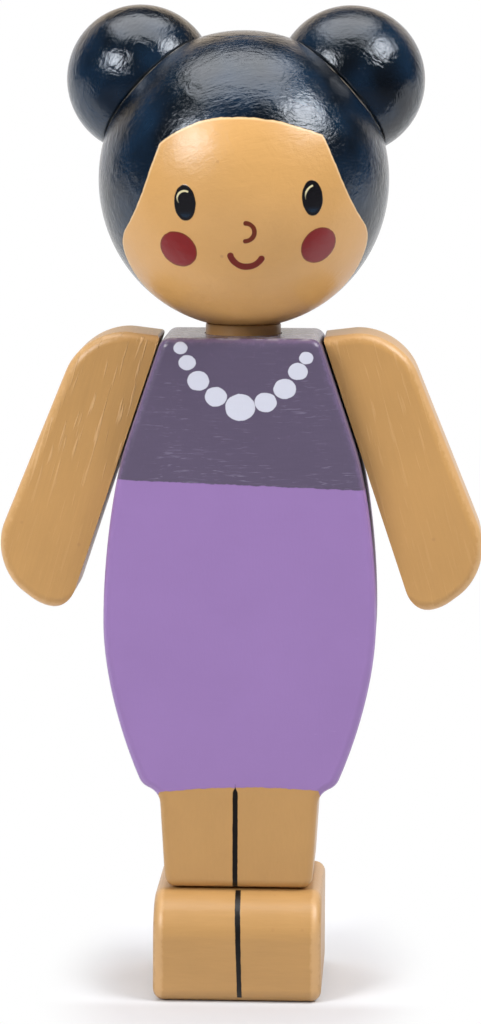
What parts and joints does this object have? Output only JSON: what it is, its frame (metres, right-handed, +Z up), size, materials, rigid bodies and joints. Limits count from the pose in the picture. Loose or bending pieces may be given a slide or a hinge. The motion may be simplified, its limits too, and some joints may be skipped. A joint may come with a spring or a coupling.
{
  "type": "dolls' house figure",
  "caption": "Upright wooden doll with a turning ball head, two hair buns, swinging arms and a feet block that folds down so that it can sit.",
  "frame": {"origin": "on the surface that the soles stand on, under the middle of the figure", "axes": "+Z up, the figure looks along -Y, +X is to its own left, which is the viewer's right"},
  "size_m": [0.0584, 0.035, 0.1192],
  "materials": {
    "dress_paint": "satin paint on sawn beech: dark grey purple bodice over a lilac skirt, tan legs below",
    "skin_paint": "satin tan paint on beech, brushed",
    "hair_lacquer": "glossy blue-black lacquer on turned beech, brushed; the face is satin tan paint",
    "bare_beech": "bare turned beech",
    "elastic": "round braided elastic"
  },
  "bodies": {
    "body": {"body": "dress_paint", "leg_pin": "bare_beech", "neck_ring": "skin_paint", "shoulder_cord": "elastic", "head_cord": "elastic", "foot_cord": "elastic"},
    "head": {"head": "hair_lacquer", "head_plug": "hair_lacquer", "head_toggle": "bare_beech", "hair_bun_left": "hair_lacquer", "hair_bun_right": "hair_lacquer", "bun_dowel_left": "bare_beech", "bun_dowel_right": "bare_beech"},
    "arm_left": {"arm_left": "skin_paint", "arm_bush_left": "bare_beech"},
    "arm_right": {"arm_right": "skin_paint", "arm_bush_right": "bare_beech"},
    "feet": {"feet": "skin_paint", "foot_toggle": "bare_beech", "sole_plug": "skin_paint"}
  },
  "joints": [
    {"name": "head_turn", "type": "hinge", "parent": "body", "child": "head", "pos_m": [0, 0, 0.0811], "axis": [0, 0, 1], "range_deg": [-180, 180], "deforming": ["head_cord"]},
    {"name": "shoulder_left", "type": "hinge", "parent": "body", "child": "arm_left", "pos_m": [0.01236, 0, 0.0719], "axis": [-0.9483, 0, -0.3173], "range_deg": [-120, 120]},
    {"name": "shoulder_right", "type": "hinge", "parent": "body", "child": "arm_right", "pos_m": [-0.01236, 0, 0.0719], "axis": [-0.9483, 0, 0.3173], "range_deg": [-120, 120]},
    {"name": "feet_fold", "type": "hinge", "parent": "body", "child": "feet", "pos_m": [0, -0.0075, 0.0075], "axis": [-1, 0, 0], "range_deg": [0, 90], "deforming": ["foot_cord"]}
  ]
}
